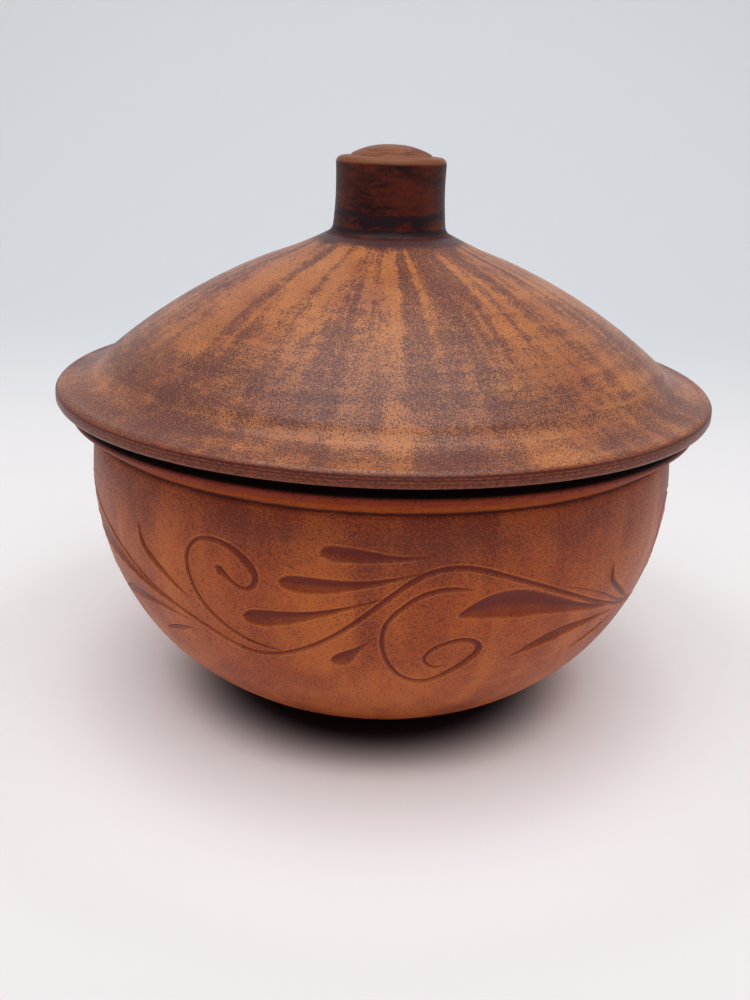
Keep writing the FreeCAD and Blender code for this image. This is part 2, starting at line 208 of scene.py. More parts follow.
# Each gouge cut: places of (turn from the front in degrees, height, width), at each turn of the vine.
carvingForm = {
    "turns": [-88.7, -0.7, 99.3, 185.3],
    "farthest": 235,
    "step": 0.75,
    "fewestSteps": 8,
    "leastWidth": 0.35,
    "steepness": 0.62,
    "softening": 0.22,
    "wallCurve": 1.7,
    "burrHeight": 0.16,
    "burrWidth": 0.42,
    "burrGap": 0.12,
    "burrFullHalf": 0.9,
    "leastBurr": 0.15,
    "burrMean": 0.75,
    "burrSway": 0.35,
    "vine": [
        (-22, 48.5, 1.8), (-14, 51.5, 1.8), (-5, 61.5, 1.9), (3, 74.5, 2.0), (9, 82.0, 2.0),
        (14, 83.4, 2.0), (22, 79.5, 1.9), (33, 71.2, 1.8), (46, 60.5, 1.8), (58, 53.0, 1.8),
    ],
    "leftScroll": [
        (-14.6, 51, 0.5), (-21, 52.3, 1.6), (-27, 57, 1.8), (-31, 64, 1.8), (-33, 73, 1.7),
        (-32.8, 79.5, 1.6), (-30.6, 84.5, 1.6), (-27.5, 86, 1.8), (-23.7, 84.4, 2.4), (-20.6, 80.4, 3.0),
        (-19.4, 75.9, 2.6), (-20.5, 72.6, 1.8), (-22.6, 72.3, 1.5), (-24.6, 74.5, 2.0), (-26.2, 76.7, 3.6),
    ],
    "rightScroll": [
        (16.6, 76.1, 0.5), (12.9, 76.7, 1.8), (8.3, 75, 1.8), (4.7, 70.3, 1.8), (2.3, 64.2, 1.8),
        (1.9, 57.8, 1.8), (3, 50.5, 1.8), (6.1, 43.7, 1.9), (10.3, 41.8, 2.2), (14.5, 45.3, 2.6),
        (18.1, 50.6, 3.0), (19.2, 54.6, 2.8), (17.6, 57.6, 2.2), (14.1, 58, 1.8), (10.8, 55.4, 1.8),
        (9.5, 51.2, 1.7), (11, 48.2, 1.5), (13.8, 48.6, 0.8),
    ],
    "drops": [
        [
            (-8.2, 87.4, 1.6), (-7.3, 87.4, 4.0), (-5.2, 87.2, 5.3), (-1.5, 87, 4.2), (4, 86.5, 2.0),
            (10, 87.5, 0.5),
        ],
        [
            (-15.1, 76.5, 1.6), (-14.0, 76.5, 4.4), (-11.6, 76.5, 6.0), (-8.0, 76.7, 5.4), (-3, 77.7, 3.2),
            (2, 79.4, 1.8), (8, 82.3, 0.5),
        ],
        [
            (-22.3, 61.8, 1.6), (-21.2, 62.1, 4.6), (-18.8, 62.7, 6.4), (-15, 64, 5.4), (-9, 66.9, 2.8),
            (-4, 70, 1.5), (1.5, 73.6, 0.6),
        ],
        [
            (-6.7, 49.1, 1.6), (-6.0, 49.8, 4.2), (-4.6, 51.3, 5.5), (-2.9, 53.9, 3.3), (-1.2, 56.8, 1.4),
            (0.2, 59, 0.6),
        ],
        [
            (14.7, 67.4, 1.8), (17, 68.7, 5.2), (23, 69.8, 10.2), (30, 67.6, 7.8), (40, 62.2, 3.2),
            (50.7, 57.2, 0.6),
        ],
        [(26.6, 49.2, 0.8), (33.5, 53, 5.0), (42, 54.8, 3.2), (52, 54, 0.6)],
        [(42.6, 44, 0.6), (47, 47, 2.6), (53, 50.5, 0.6)],
    ],
    "slimLeaf": [
        (-45.5, 82.9, 0.8), (-44.6, 76.3, 2.8), (-41.4, 71.5, 3.0), (-36.9, 66.2, 1.8), (-33.7, 63.3, 0.6),
    ],
    "slimTurns": [(-0.7, 0), (91.3, -8), (185.3, 0), (271.3, 0)],
    "secondLine": [(35, 71.7, 0.5), (44.2, 65.3, 1.2), (58.1, 54.3, 1.2), (62.6, 53.4, 0.5)],
    "secondTurn": -0.7,
}

# How the band's mesh is drawn: lines along each cut by shares of its half width and by gaps outside it.
bandForm = {
    "across": (-1.0, -0.8, -0.55, -0.28, 0.0, 0.28, 0.55, 0.8, 1.0),
    "beyond": (0.15, 0.38, 0.75, 1.3),
    "endAngles": (-50, -25, 0, 25, 50),
    "pastSeam": 6.0,
    "clearing": 1.9,
    "nearby": 3.0,
    "weld": 0.02,
}
laps = (-360, 0, 360)
farAway = 1e3
hair = 1e-6

bellyPath = np.array(tracePath(potForm["foot"][-1][0], potForm["belly"], 0.2))
bellyRun = np.concatenate([[0.0], np.cumsum(np.linalg.norm(np.diff(bellyPath, axis=0), axis=1))])
perDegree = math.radians(1) * potForm["bandRadius"]  # width of one degree on the flat drawing of the band


def runAt(height):
    return np.interp(height, bellyPath[:, 1], bellyRun)


def bellyAt(run):
    return np.interp(run, bellyRun, bellyPath[:, 0]), np.interp(run, bellyRun, bellyPath[:, 1])


# Places on the belly for a flat drawing: x is the turn, y the run up the outline, out is away from the wall.
def onBelly(x, y, out):
    step = 0.4
    reach, height = bellyAt(y)
    (upperReach, upperHeight), (lowerReach, lowerHeight) = bellyAt(y + step), bellyAt(y - step)
    leanX = upperReach - lowerReach
    leanZ = upperHeight - lowerHeight
    length = np.hypot(leanX, leanZ)
    reach = reach + out * leanZ / length
    height = height - out * leanX / length
    turn = np.radians(x / perDegree)
    return np.stack([reach * np.sin(turn), -reach * np.cos(turn), height], axis=1)


# A smooth curve through the places of a cut, as rows of x, y and width.
def smoothCut(points):
    form = carvingForm
    knots = np.array([(turn * perDegree, runAt(height), width) for turn, height, width in points])
    gaps = np.linalg.norm(np.diff(knots[:, :2], axis=0), axis=1)
    along = np.concatenate([[0.0], np.cumsum(gaps)])
    count = len(knots)
    system = np.eye(count)
    sides = np.zeros((count, 3))
    for i in range(1, count - 1):
        system[i, i - 1:i + 2] = gaps[i - 1], 2 * (gaps[i - 1] + gaps[i]), gaps[i]
        sides[i] = 6 * ((knots[i + 1] - knots[i]) / gaps[i] - (knots[i] - knots[i - 1]) / gaps[i - 1])
    bend = np.linalg.solve(system, sides)
    spots = np.linspace(0, along[-1], max(form["fewestSteps"], int(along[-1] / form["step"])) + 1)
    cell = np.clip(np.searchsorted(along, spots, side="right") - 1, 0, count - 2)
    gap = gaps[cell][:, None]
    ahead = (spots - along[cell])[:, None]
    behind = gap - ahead
    curve = (bend[cell] * behind ** 3 + bend[cell + 1] * ahead ** 3) / (6 * gap)
    curve += (knots[cell] / gap - bend[cell] * gap / 6) * behind
    curve += (knots[cell + 1] / gap - bend[cell + 1] * gap / 6) * ahead
    curve[:, 2] = np.maximum(curve[:, 2], form["leastWidth"])
    return curve


def moved(line, turn, lift):
    return [(turn + place, height + lift, width) for place, height, width in line]


def allCuts():
    form = carvingForm
    wholeVine = []
    for lap in laps:
        for turn in form["turns"]:
            wholeVine += moved(form["vine"], turn + lap, 0)
    cuts = [smoothCut(wholeVine)]
    single = [form["leftScroll"], form["rightScroll"]] + form["drops"]
    placed = [(line, turn, 0) for line in single for turn in form["turns"]]
    placed += [(form["slimLeaf"], turn, lift) for turn, lift in form["slimTurns"]]
    placed.append((form["secondLine"], form["secondTurn"], 0))
    for line, turn, lift in placed:
        for lap in laps:
            if abs(turn + lap + line[0][0]) < form["farthest"]:
                cuts.append(smoothCut(moved(line, turn + lap, lift)))
    return cuts


# How far each point lies from the middle of one cut, and the cut's half width there.
def nearCut(points, cut):
    distance = np.full(len(points), farAway)
    half = np.full(len(points), 1.0)
    reach = cut[:, 2].max() / 2 + bandForm["nearby"]
    box = (points > cut[:, :2].min(0) - reach).all(1) & (points < cut[:, :2].max(0) + reach).all(1)
    if not box.any():
        return distance, half
    inside = points[box]
    best = np.full(len(inside), farAway)
    bestHalf = np.full(len(inside), 1.0)
    for a, b in zip(cut[:-1], cut[1:]):
        side = b[:2] - a[:2]
        share = np.clip(((inside - a[:2]) @ side) / (side @ side), 0, 1)
        gap = np.hypot(*(inside - a[:2] - share[:, None] * side).T)
        wide = (a[2] + (b[2] - a[2]) * share) / 2
        closer = gap / wide < best / bestHalf
        best = np.where(closer, gap, best)
        bestHalf = np.where(closer, wide, bestHalf)
    distance[box] = best
    half[box] = bestHalf
    return distance, half


def addChain(places, edges, line):
    first = len(places)
    places.extend(line)
    edges.extend((first + i, first + i + 1) for i in range(len(line) - 1))


# Lines along a cut, inside it and beside it, and fans of places round its two ends.
def drawCut(cut, places, edges):
    form = bandForm
    ahead = np.gradient(cut[:, :2], axis=0)
    ahead /= np.linalg.norm(ahead, axis=1)[:, None]
    sideways = np.stack([-ahead[:, 1], ahead[:, 0]], axis=1)
    half = cut[:, 2] / 2
    rails = [half * share for share in form["across"]]
    rails += [half + gap for gap in form["beyond"]] + [-half - gap for gap in form["beyond"]]
    for rail in rails:
        addChain(places, edges, cut[:, :2] + sideways * rail[:, None])
    for end, forward in ((0, -1), (-1, 1)):
        for ring in [half[end]] + [half[end] + gap for gap in form["beyond"]]:
            for angle in form["endAngles"]:
                onward = ahead[end] * forward * math.cos(math.radians(angle))
                turned = onward + sideways[end] * math.sin(math.radians(angle))
                places.append(cut[end, :2] + turned * ring)


def layOutBand(cuts, low, high):
    edgeX = 180 * perDegree
    places, edges = [], []
    for cut in cuts:
        cut = cut[np.abs(cut[:, 0]) < edgeX + bandForm["pastSeam"]]
        if len(cut) >= 3:
            drawCut(cut, places, edges)
    count = potForm["segments"]
    columns = np.arange(-1, count + 2) / count * 2 * edgeX - edgeX
    rows = np.linspace(low, high, round((high - low) / potForm["spacing"]) + 1)
    grid = np.array([(x, y) for x in columns for y in rows])
    free = np.ones(len(grid), bool)
    for cut in cuts:
        distance, half = nearCut(grid, cut)
        free &= distance > half + bandForm["clearing"]
    border = (np.abs(grid[:, 1] - low) < hair) | (np.abs(grid[:, 1] - high) < hair)
    sides = np.abs(np.abs(grid[:, 0]) - edgeX) < hair
    places.extend(grid[free & ~border & ~sides])
    for y in (low, high):
        addChain(places, edges, [(x, y) for x in columns])
    for x in (-edgeX, edgeX):
        addChain(places, edges, [(x, y) for y in rows])
    spots = [Vector((float(x), float(y))) for x, y in places]
    found = delaunay_2d_cdt(spots, edges, [], 0, bandForm["weld"], False)
    flat = np.array([tuple(spot) for spot in found[0]])
    faces = np.array([face for face in found[2] if len(face) == 3])
    middle = flat[faces].mean(axis=1)
    kept = (np.abs(middle[:, 0]) < edgeX) & (middle[:, 1] > low) & (middle[:, 1] < high)
    return flat, faces[kept]


# How far the skin stands out at each place: down into the cuts and up at the burr beside them.
def carve(flat, cuts):
    form = carvingForm
    depth = np.zeros(len(flat))
    burr = np.zeros(len(flat))
    for cut in cuts:
        distance, half = nearCut(flat, cut)
        full = form["steepness"] * half / (1 + form["softening"] * half)
        share = np.clip(distance / half, 0, 1)
        depth = np.maximum(depth, full * (1 - share ** form["wallCurve"]))
        rise = np.exp(-((distance - half - form["burrGap"]) / form["burrWidth"]) ** 2)
        rise *= np.clip(half / form["burrFullHalf"], form["leastBurr"], 1.0)
        burr = np.maximum(burr, np.where(distance >= half, rise, 0))
    burr *= np.clip(1 - depth / form["burrGap"], 0, 1)
    sway = np.sin(flat[:, 0] * 0.9 + np.sin(flat[:, 1] * 0.7) * 2)
    wander = form["burrMean"] + form["burrSway"] * sway
    return burr * form["burrHeight"] * wander - depth, depth, burr


def latheRows(outline, segments):
    angles = np.arange(segments + 1) / segments * 2 * math.pi - math.pi
    rows = [np.stack([x * np.sin(angles), -x * np.cos(angles), angles * 0 + z], axis=1) for x, z in outline]
    wide = segments + 1
    corners = [row * wide + i for row in range(len(outline) - 1) for i in range(segments)]
    return np.concatenate(rows), [(a, a + 1, a + wide + 1, a + wide) for a in corners]


# The outline below the band and above it, from the middle of the foot round to the middle of the inside.
def plainRows(low, high):
    spacing = potForm["spacing"]
    lowRows = tracePath(potForm["footStart"], potForm["foot"], spacing)
    lowRuns = np.linspace(0, low, round(low / spacing) + 1)[1:]
    lowRows += list(zip(*(side.tolist() for side in bellyAt(lowRuns))))
    highRuns = np.linspace(high, bellyRun[-1], potForm["rowsAboveBand"])
    highRows = list(zip(*(side.tolist() for side in bellyAt(highRuns))))
    highRows += tracePath(highRows[-1], potForm["lip"], potForm["lipSpacing"])[1:]
    highRows += tracePath(highRows[-1], potForm["inside"], potForm["insideSpacing"])[1:]
    return lowRows, highRows


# Joins the parts, also along the seam at the back, where the two sides of the band miss by a hair.
def joinSkin(work):
    bmesh.ops.remove_doubles(work, verts=work.verts, dist=potForm["weld"] * millimetre)
    bmesh.ops.delete(work, geom=[vertex for vertex in work.verts if not vertex.link_faces], context="VERTS")
    seam = {vertex for edge in work.edges if len(edge.link_faces) == 1 for vertex in edge.verts}
    bmesh.ops.remove_doubles(work, verts=list(seam), dist=potForm["seamWeld"] * millimetre)
    bmesh.ops.holes_fill(work, edges=[edge for edge in work.edges if len(edge.link_faces) == 1], sides=0)
    bmesh.ops.recalc_face_normals(work, faces=work.faces)
    work.normal_update()


# Keeps how far each wall leans up from the belly's own lean, so that cut walls facing down can be painted in
# shade and edges facing up painted paler, partly as wear and partly as painted light.
def keepLean(work):
    leanLayer = work.verts.layers.float.new("lean")
    for vertex in work.verts:
        plain = (vertex.co.z / millimetre - potForm["middleHeight"]) / potForm["middleRadius"]
        vertex[leanLayer] = vertex.normal.z - plain


def printCounts(name, mesh, work):
    openEdges = sum(1 for edge in work.edges if len(edge.link_faces) != 2)
    print(name, len(mesh.vertices), "points,", len(mesh.polygons), "faces, open edges", openEdges)


def makePotSkin():
    cuts = allCuts()
    low, high = runAt(potForm["bandLow"]), runAt(potForm["bandHigh"])
    flat, bandFaces = layOutBand(cuts, low, high)
    out, depth, burr = carve(flat, cuts)
    parts = [(onBelly(flat[:, 0], flat[:, 1], out), bandFaces.tolist(), depth, burr)]
    for rows in plainRows(low, high):
        places, faces = latheRows(rows, potForm["segments"])
        parts.append((places, faces, np.zeros(len(places)), np.zeros(len(places))))
    work = bmesh.new()
    cutLayer = work.verts.layers.float.new("cut")
    burrLayer = work.verts.layers.float.new("burr")
    for places, faces, depths, burrs in parts:
        made = [work.verts.new(place) for place in (places * millimetre).tolist()]
        for vertex, cutValue, burrValue in zip(made, depths.tolist(), burrs.tolist()):
            vertex[cutLayer] = cutValue
            vertex[burrLayer] = burrValue
        for face in faces:
            work.faces.new([made[i] for i in face])
    joinSkin(work)
    keepLean(work)
    mesh = bpy.data.meshes.new("potSkin")
    work.to_mesh(mesh)
    printCounts("pot skin:", mesh, work)
    work.free()
    mesh.shade_smooth()
    return addObject("potSkin", mesh)


potSkin = makePotSkin()


# The lid is one outline swung round on the wheel, with faint finger rings. The outline is in millimetres.
lidForm = {
    "start": (0.0, 195.2),
    "outline": [
        ((13.5, 192.2), 26.0, -1), ((13.9, 191.6), None, 0), ((16.6, 191.4), None, 0),
        ((18.9, 189.1), 2.3, -1), ((19.4, 169.3), 130.0, 1), ((22.3, 165.5), 3.8, 1),
        ((42.0, 157.2), 150.0, 1), ((97.8, 123.6), 200.0, -1), ((102.5, 119.2), 9.0, 1),
        ((111.4, 116.2), 34.0, 1), ((112.6, 116.1), 1.6, -1), ((114.9, 114.4), 3.2, -1),
        ((115.0, 112.1), None, 0),
        ((114.6, 111.3), None, 0), ((113.9, 111.0), None, 0), ((98.5, 111.0), None, 0),
        ((96.1, 103.0), None, 0), ((95.2, 102.0), None, 0), ((93.8, 102.0), None, 0),
        ((92.9, 103.0), None, 0), ((92.9, 119.3), None, 0), ((39.8, 151.8), 194.0, 1),
        ((0.0, 158.8), 120.0, 1),
    ],
    "spacing": 1.1,
    "calmMiddle": 0.012,
    "weld": 0.00001,
    "Segments": 288,
    "Ring Depth": 0.00007,
    "Ring Spacing": 0.0032,
    "Wander": 0.35,
}
wheelInputs = (
    ("Geometry", "Geometry"), ("Segments", "Int"), ("Ring Depth", "Float"), ("Ring Spacing", "Float"),
    ("Wander", "Float"),
)


# Rows of a grid follow the outline's points, and its columns are swung round the middle.
def wheelTree(finish):
    tree = bpy.data.node_groups.new("turnOnWheel", "GeometryNodeTree")
    for name, kind in wheelInputs:
        tree.interface.new_socket(name, in_out="INPUT", socket_type="NodeSocket" + kind)
    tree.interface.new_socket("Geometry", in_out="OUTPUT", socket_type="NodeSocketGeometry")
    given = tree.nodes.new("NodeGroupInput").outputs
    outline = given["Geometry"]
    size = putNode(tree, "GeometryNodeAttributeDomainSize", {"Geometry": outline}, component="MESH")
    rows = size.outputs["Point Count"]
    columns = doMath(tree, "ADD", given["Segments"], 1.0)
    gridInputs = {"Size X": 1.0, "Size Y": 1.0, "Vertices X": columns, "Vertices Y": rows}
    grid = putNode(tree, "GeometryNodeMeshGrid", gridInputs).outputs["Mesh"]
    index = tree.nodes.new("GeometryNodeInputIndex").outputs[0]
    column = doMath(tree, "FLOOR", doMath(tree, "DIVIDE", doMath(tree, "ADD", index, 0.5), rows))
    row = minus(tree, index, times(tree, column, rows))
    where = tree.nodes.new("GeometryNodeInputPosition").outputs[0]

    def outlineAt(shift):
        wanted = doMath(tree, "MAXIMUM", doMath(tree, "ADD", row, shift), 0.0)
        wanted = doMath(tree, "MINIMUM", wanted, minus(tree, rows, 1.0))
        inputs = {"Geometry": outline, "Value": where, "Index": wanted}
        kinds = {"data_type": "FLOAT_VECTOR", "domain": "POINT"}
        return putNode(tree, "GeometryNodeSampleIndex", inputs, **kinds).outputs[0]

    place = outlineAt(0.0)
    along = doVector(tree, "SUBTRACT", outlineAt(1.0), outlineAt(-1.0))
    outward = doVector(tree, "NORMALIZE", doVector(tree, "CROSS_PRODUCT", along, (0.0, 1.0, 0.0)))
    angle = doMath(tree, "DIVIDE", times(tree, column, 2 * math.pi), given["Segments"])
    split = splitAxes(tree, place)
    ring = doMath(tree, "DIVIDE", minus(tree, split["X"], split["Z"]), given["Ring Spacing"])
    roundX = times(tree, doMath(tree, "COSINE", angle), given["Wander"])
    roundY = times(tree, doMath(tree, "SINE", angle), given["Wander"])
    ringNoise = minus(tree, noise(tree, joinAxes(tree, roundX, roundY, ring), 1.0, 1.0, 0.4), noiseMiddle)
    offCentre = spread(tree, split["X"], 0.0, lidForm["calmMiddle"], 0.0, 2.0)
    push = times(tree, times(tree, ringNoise, given["Ring Depth"]), offCentre)
    flat = doVector(tree, "ADD", place, scaled(tree, outward, push))
    swing = putNode(tree, "ShaderNodeVectorRotate", {"Vector": flat, "Angle": angle}, rotation_type="Z_AXIS")
    placed = {"Geometry": grid, "Position": swing.outputs[0]}
    shaped = putNode(tree, "GeometryNodeSetPosition", placed).outputs[0]
    weld = {"Geometry": shaped, "Distance": lidForm["weld"]}
    closed = putNode(tree, "GeometryNodeMergeByDistance", weld).outputs[0]
    smooth = {"Geometry": closed, "Shade Smooth": True}
    smoothed = putNode(tree, "GeometryNodeSetShadeSmooth", smooth).outputs[0]
    real = putNode(tree, "GeometryNodeRealizeInstances", {"Geometry": smoothed}).outputs[0]
    coated = putNode(tree, "GeometryNodeSetMaterial", {"Geometry": real, "Material": finish}).outputs[0]
    tree.links.new(coated, tree.nodes.new("NodeGroupOutput").inputs[0])
    return tree


def makeLidSkin(finish):
    outline = tracePath(lidForm["start"], lidForm["outline"], lidForm["spacing"])
    points = [(x * millimetre, 0, z * millimetre) for x, z in outline]
    mesh = bpy.data.meshes.new("lidOutline")
    mesh.from_pydata(points, [(i, i + 1) for i in range(len(points) - 1)], [])
    raw = addObject("lidOutline", mesh)
    modifier = raw.modifiers.new("turnOnWheel", "NODES")
    tree = wheelTree(finish)
    modifier.node_group = tree
    for item in tree.interface.items_tree:
        if item.in_out == "INPUT" and item.name in lidForm:
            modifier[item.identifier] = lidForm[item.name]
    skin = bpy.data.meshes.new_from_object(raw.evaluated_get(bpy.context.evaluated_depsgraph_get()))
    raw.modifiers.clear()
    bpy.data.objects.remove(raw)
    work = bmesh.new()
    work.from_mesh(skin)
    bmesh.ops.recalc_face_normals(work, faces=work.faces)
    work.to_mesh(skin)
    printCounts("lid skin:", skin, work)
    work.free()
    skin.name = "lidSkin"
    skin.shade_smooth()
    return addObject("lidSkin", skin)


# Where a point lies on something turned on the wheel.
def turnedPlaceGroup():
    outputs = [("Round", "Vector"), ("Radius", "Float"), ("Height", "Float")]
    group, given, made = newGroup("turnedPlace", [("Vector", "Vector", None)], outputs)
    split = splitAxes(group, given["Vector"])
    flat = joinAxes(group, split["X"], split["Y"], 0.0)
    group.links.new(doVector(group, "NORMALIZE", flat), made["Round"])
    group.links.new(lengthOf(group, flat), made["Radius"])
    group.links.new(split["Z"], made["Height"])
    return group


# Fine dark grains that crowd together where the amount is high.
def stippleGroup():
    inputs = [
        ("Vector", "Vector", None), ("Amount", "Float", 0.5), ("Grain", "Float", 2000.0),
        ("Softness", "Float", 0.05),
    ]
    group, given, made = newGroup("stipple", inputs, [("Mask", "Float")])
    grains = noise(group, given["Vector"], given["Grain"], 2.0, 0.6)
    wanted = spread(group, given["Amount"], 0.0, 1.0, 0.64, 0.40, False)
    low = minus(group, wanted, given["Softness"])
    high = doMath(group, "ADD", wanted, given["Softness"])
    group.links.new(spread(group, grains, low, high), made["Mask"])
    return group


# Level lines left by the fingers and the sponge as the wheel turns.
def wheelLinesGroup():
    inputs = [
        ("Round", "Vector", None), ("Radius", "Float", 0.1), ("Height", "Float", 0.1),
        ("Spacing", "Float", 0.002), ("Wander", "Float", 0.5),
    ]
    group, given, made = newGroup("wheelLines", inputs, [("Value", "Float")])
    run = doMath(group, "DIVIDE", minus(group, given["Radius"], given["Height"]), given["Spacing"])
    bent = scaled(group, given["Round"], given["Wander"])
    place = doVector(group, "ADD", joinAxes(group, 0.0, 0.0, run), bent)
    group.links.new(noise(group, place, 1.0, 4.0, 0.6), made["Value"])
    return group


turnedPlace = turnedPlaceGroup()
stipple = stippleGroup()
wheelLines = wheelLinesGroup()
finishForm = {"shine": 0.12, "coatRoughness": 0.30, "gritScale": 1500.0, "gritShare": 0.35}


def startClay(name):
    material = bpy.data.materials.new(name)
    material.use_nodes = True
    tree = material.node_tree
    shader = tree.nodes["Principled BSDF"]
    shader.inputs["Specular IOR Level"].default_value = finishForm["shine"]
    shader.inputs["Coat Roughness"].default_value = finishForm["coatRoughness"]
    place = putNode(tree, "ShaderNodeTexCoord").outputs["Object"]
    spot = useGroup(tree, turnedPlace, {"Vector": place})
    return material, tree, shader, place, spot


def ringsAt(tree, spot, rings):
    inputs = {name: spot[name] for name in ("Round", "Radius", "Height")}
    return useGroup(tree, wheelLines, {**inputs, **rings})["Value"]


def grainsAt(tree, form, place, amount):
    inputs = {"Vector": place, "Amount": amount, "Grain": form["Grain"], "Softness": form["Softness"]}
    return useGroup(tree, stipple, inputs)["Mask"]


# Dull grains on smoother clay, and a faint relief of wheel lines and grit.
def finishClay(tree, shader, form, place, grains, ring):
    tree.links.new(spread(tree, grains, 0.0, 1.0, *form["roughness"], False), shader.inputs["Roughness"])
    grit = noise(tree, place, finishForm["gritScale"], 2.0, 0.6)
    relief = plus(tree, times(tree, ring, form["ringRelief"]), grit, finishForm["gritShare"])
    inputs = {"Strength": form["bump"], "Distance": form["bumpHeight"], "Height": relief}
    tree.links.new(putNode(tree, "ShaderNodeBump", inputs).outputs[0], shader.inputs["Normal"])


# One line round the turned piece at a height, fading out to both sides.
def lineAt(tree, height, level, half):
    away = doMath(tree, "ABSOLUTE", minus(tree, height, level))
    return spread(tree, away, half, half * 0.35)


# Noise about nought that shifts a line or an edge by up to half the given size.
def wobble(tree, value, size):
    return times(tree, minus(tree, value, noiseMiddle), size)


# The lid's smoked clay: orange under dark drips that run down from the knob. Places are in metres.
lidClayForm = {
    "orange": colour(0.480, 0.168, 0.050),
    "brown": colour(0.350, 0.108, 0.040),
    "smoke": colour(0.056, 0.015, 0.024),
    "collar": colour(0.050, 0.016, 0.022),
    "ash": colour(0.190, 0.095, 0.075),
    "knobDark": colour(0.020, 0.0018, 0.0012),
    "knobRed": colour(0.100, 0.0130, 0.0035),
    "knobFoot": colour(0.012, 0.0035, 0.0070),
    "cap": colour(0.220, 0.075, 0.030),
    "rimRed": colour(0.230, 0.046, 0.014),
    "rimDark": colour(0.055, 0.0070, 0.0050),
    "gapShade": colour(0.016, 0.006, 0.005),
    "broadDrips": (5.5, 9.0, 1.0),  # how many to the turn, change down the lid, detail
    "fineDrips": (14.0, 14.0, 2.0),
    "dripStrength": (0.036, 0.098, 1.05, 0.32),  # from the knob to the brim
    "fineRings": {"Spacing": 0.0019, "Wander": 1.0},
    "broadRings": {"Spacing": 0.0085, "Wander": 1.6},
    "bandStart": (0.066, 0.088),
    "bandEnd": (0.1145, 0.100),
    "knobSmoke": (0.030, 0.0235),
    "brimSmoke": (0.098, 0.106),
    "leftSmoke": (-0.02, -0.09),
    "smokeRange": (-0.60, 0.65, 0.16, 0.84),
    "knobReach": (0.0235, 0.0212),
    "knobBottom": (0.1648, 0.1662),
    "capHeight": (0.1890, 0.1900),
    "capMiddle": (0.0150, 0.0125, 0.25, 0.8),
    "collarReach": (0.0225, 0.0195, 0.0, 0.8),
    "footLines": ((0.1722, 0.0022), (0.1676, 0.0011)),  # heights and half widths
    "rimReach": (0.1126, 0.1136),
    "rimTop": (0.1158, 0.1151),
    "rimLines": ((0.1147, 0.00042), (0.1137, 0.00030), (0.1126, 0.00022)),
    "gapShadeHeight": (0.1113, 0.11095),
    "gapShadeReach": (0.090, 0.094),
    "Grain": 2000.0,
    "Softness": 0.05,
    "roughness": (0.40, 0.54),
    "sheen": 0.36,
    "knobSheen": 0.10,
    "ringRelief": 0.7,
    "bump": 0.55,
    "bumpHeight": 0.00022,
}


def drippingNoise(tree, spot, turns, run, detail):
    down = joinAxes(tree, 0.0, 0.0, times(tree, spot["Radius"], run))
    place = doVector(tree, "ADD", scaled(tree, spot["Round"], turns), down)
    return noise(tree, place, 1.0, detail, 0.55, 0.2)


# How thick the smoke lies: drips, clouds and rings, more at the knob, at the brim and on the left.
def lidSmoke(tree, form, place, spot, ring):
    radius = spot["Radius"]
    broken = minus(tree, noise(tree, place, 240.0, 3.0, 0.65), noiseMiddle)
    drips = times(tree, drippingNoise(tree, spot, *form["broadDrips"]), 0.5)
    drips = plus(tree, drips, drippingNoise(tree, spot, *form["fineDrips"]), 0.5)
    drips = spread(tree, plus(tree, drips, broken, 0.22), 0.39, 0.62)
    clouds = spread(tree, plus(tree, noise(tree, place, 30.0, 3.0, 0.55, 0.3), broken, 0.40), 0.30, 0.74)
    broadRing = minus(tree, ringsAt(tree, spot, form["broadRings"]), 0.46)
    lowerBand = times(tree, spread(tree, radius, *form["bandStart"]), spread(tree, radius, *form["bandEnd"]))
    amount = times(tree, minus(tree, drips, noiseMiddle), spread(tree, radius, *form["dripStrength"]))
    amount = plus(tree, amount, minus(tree, clouds, 0.45), 0.42)
    amount = plus(tree, amount, broadRing, doMath(tree, "ADD", times(tree, lowerBand, 1.1), 0.5))
    amount = plus(tree, amount, minus(tree, ring, noiseMiddle), 0.6)
    amount = plus(tree, amount, spread(tree, radius, *form["knobSmoke"]), 0.65)
    amount = plus(tree, amount, spread(tree, radius, *form["brimSmoke"]), 0.18)
    amount = plus(tree, amount, spread(tree, splitAxes(tree, place)["X"], *form["leftSmoke"]), 0.14)
    return spread(tree, amount, *form["smokeRange"]), lowerBand, clouds


